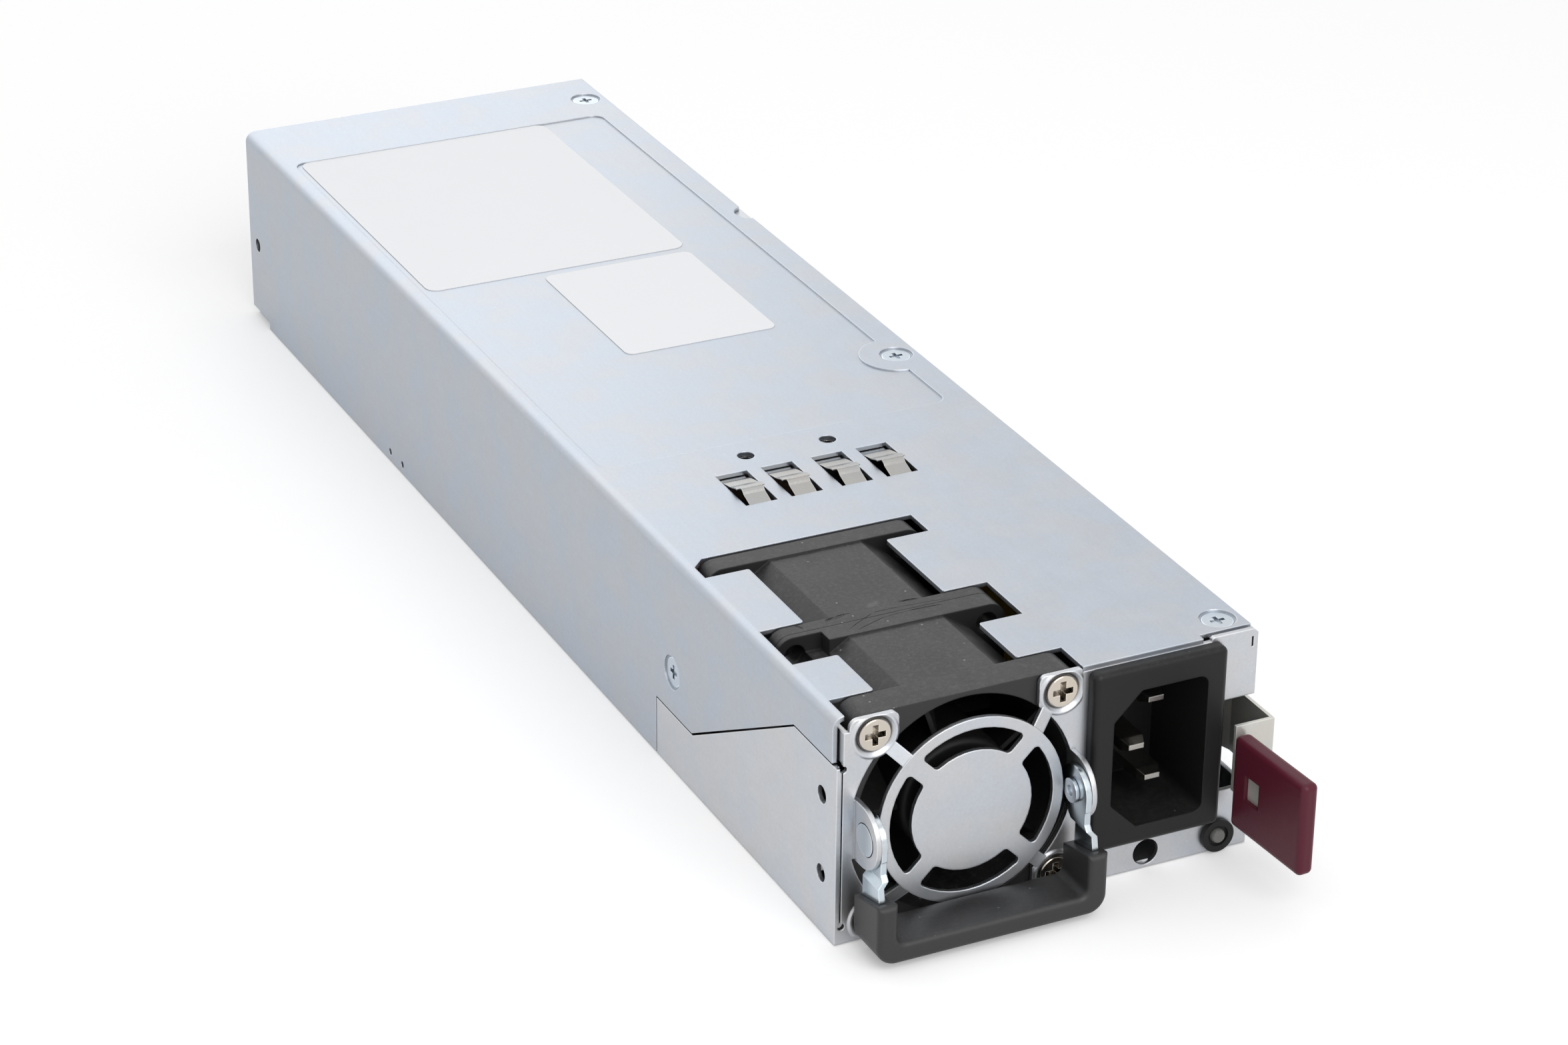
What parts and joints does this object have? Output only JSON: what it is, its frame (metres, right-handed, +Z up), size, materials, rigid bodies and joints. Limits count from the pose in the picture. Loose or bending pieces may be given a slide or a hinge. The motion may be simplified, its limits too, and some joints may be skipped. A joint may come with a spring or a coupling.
{
  "type": "hot swap server power supply",
  "caption": "Slim boxed power supply with two fans in line, a swinging pull handle, a mains inlet, a sprung release latch and a card edge output.",
  "frame": {"origin": "centre of the case's bottom face, handle and card edge left out", "axes": "+X to the right seen from the front, +Y from the fan side to the card edge, +Z up"},
  "size_m": [0.0754, 0.2964, 0.0401],
  "materials": {
    "galvanised_sheet": "satin galvanised sheet with a faint spangle",
    "nickel_screw": "nickel plated",
    "fan_plastic": "black glass filled plastic, matte",
    "impeller_plastic": "black plastic, slightly shiny",
    "bright_steel": "bright",
    "copper_winding": "enamelled copper",
    "zinc_plate": "clear zinc plate, slightly blue",
    "grip_plastic": "black moulded grip, fine grain",
    "spring_steel": "stainless, rolled",
    "tab_plastic": "dark red moulded plastic, satin",
    "inlet_plastic": "black moulded plastic",
    "tinned_brass": "nickel plated brass",
    "lens_plastic": "clear, unlit",
    "circuit_board": "green solder mask",
    "gold_contact": "gold plated",
    "film": "translucent film",
    "ceramic": "glazed",
    "film_box": "yellow box",
    "component_black": "moulded package",
    "heatsink": "plain aluminium",
    "can_sleeve": "dark sleeve",
    "ferrite": "sintered",
    "winding_tape": "yellow tape"
  },
  "bodies": {
    "case": {"chassis": "galvanised_sheet", "top_cover": "galvanised_sheet", "cover_screws": "nickel_screw", "fan_screws": "nickel_screw", "front_fan_frame": "fan_plastic", "rear_fan_frame": "fan_plastic", "front_fan_bearings": "bright_steel", "rear_fan_bearings": "bright_steel", "front_fan_stator": "copper_winding", "rear_fan_stator": "copper_winding", "handle_rivets": "zinc_plate", "latch_anchor": "spring_steel", "latch_rivets": "bright_steel", "inlet_housing": "inlet_plastic", "inlet_power_pins": "tinned_brass", "inlet_earth_pin": "tinned_brass", "lamp_bezel": "inlet_plastic", "lamp_lens": "lens_plastic", "finger_strip": "spring_steel", "main_board": "circuit_board", "edge_contacts": "gold_contact", "insulating_sheet": "film", "board_standoffs": "bright_steel", "board_screws": "nickel_screw", "input_fuse": "ceramic", "filter_capacitors": "film_box", "filter_chokes": "copper_winding", "input_relay": "component_black", "rectifier_heatsink": "heatsink", "bridge_rectifier": "component_black", "bulk_capacitors": "can_sleeve", "primary_heatsink": "heatsink", "primary_transistors": "component_black", "transformer_core": "ferrite", "transformer_winding": "winding_tape", "standby_transformer": "winding_tape", "control_board": "circuit_board", "output_heatsink": "heatsink", "output_transistors": "component_black", "output_capacitors": "can_sleeve", "output_inductor": "copper_winding"},
    "front_rotor": {"front_fan_impeller": "impeller_plastic", "front_fan_shaft": "bright_steel"},
    "rear_rotor": {"rear_fan_impeller": "impeller_plastic", "rear_fan_shaft": "bright_steel"},
    "handle": {"handle_bail": "zinc_plate", "handle_grip": "grip_plastic"},
    "latch": {"latch_spring": "spring_steel", "release_tab": "tab_plastic"},
    "finger_1": {"spring_finger_1": "spring_steel"},
    "finger_2": {"spring_finger_2": "spring_steel"},
    "finger_3": {"spring_finger_3": "spring_steel"},
    "finger_4": {"spring_finger_4": "spring_steel"}
  },
  "joints": [
    {"name": "front_fan_spin", "type": "hinge", "parent": "case", "child": "front_rotor", "pos_m": [-0.0143, -0.12, 0.01945], "axis": [0, 1, 0], "continuous": true},
    {"name": "rear_fan_spin", "type": "hinge", "parent": "case", "child": "rear_rotor", "pos_m": [-0.0143, -0.09, 0.01945], "axis": [0, -1, 0], "continuous": true},
    {"name": "handle_swing", "type": "hinge", "parent": "case", "child": "handle", "pos_m": [-0.01462, -0.136, 0.0199], "axis": [-1, 0, 0], "range_deg": [0, 95]},
    {"name": "latch_press", "type": "hinge", "parent": "case", "child": "latch", "pos_m": [0.03525, -0.0825, 0.01815], "axis": [0, 0, -1], "range_deg": [0, 2.6], "stiffness_Nm_per_rad": 4},
    {"name": "finger_1_press", "type": "hinge", "parent": "case", "child": "finger_1", "pos_m": [-0.01485, -0.0477, 0.0379], "axis": [1, 0, 0], "range_deg": [0, 15], "stiffness_Nm_per_rad": 0.02},
    {"name": "finger_2_press", "type": "hinge", "parent": "case", "child": "finger_2", "pos_m": [-0.00645, -0.0477, 0.0379], "axis": [1, 0, 0], "range_deg": [0, 15], "stiffness_Nm_per_rad": 0.02},
    {"name": "finger_3_press", "type": "hinge", "parent": "case", "child": "finger_3", "pos_m": [0.0029, -0.0477, 0.0379], "axis": [1, 0, 0], "range_deg": [0, 15], "stiffness_Nm_per_rad": 0.02},
    {"name": "finger_4_press", "type": "hinge", "parent": "case", "child": "finger_4", "pos_m": [0.0113, -0.0477, 0.0379], "axis": [1, 0, 0], "range_deg": [0, 15], "stiffness_Nm_per_rad": 0.02}
  ]
}
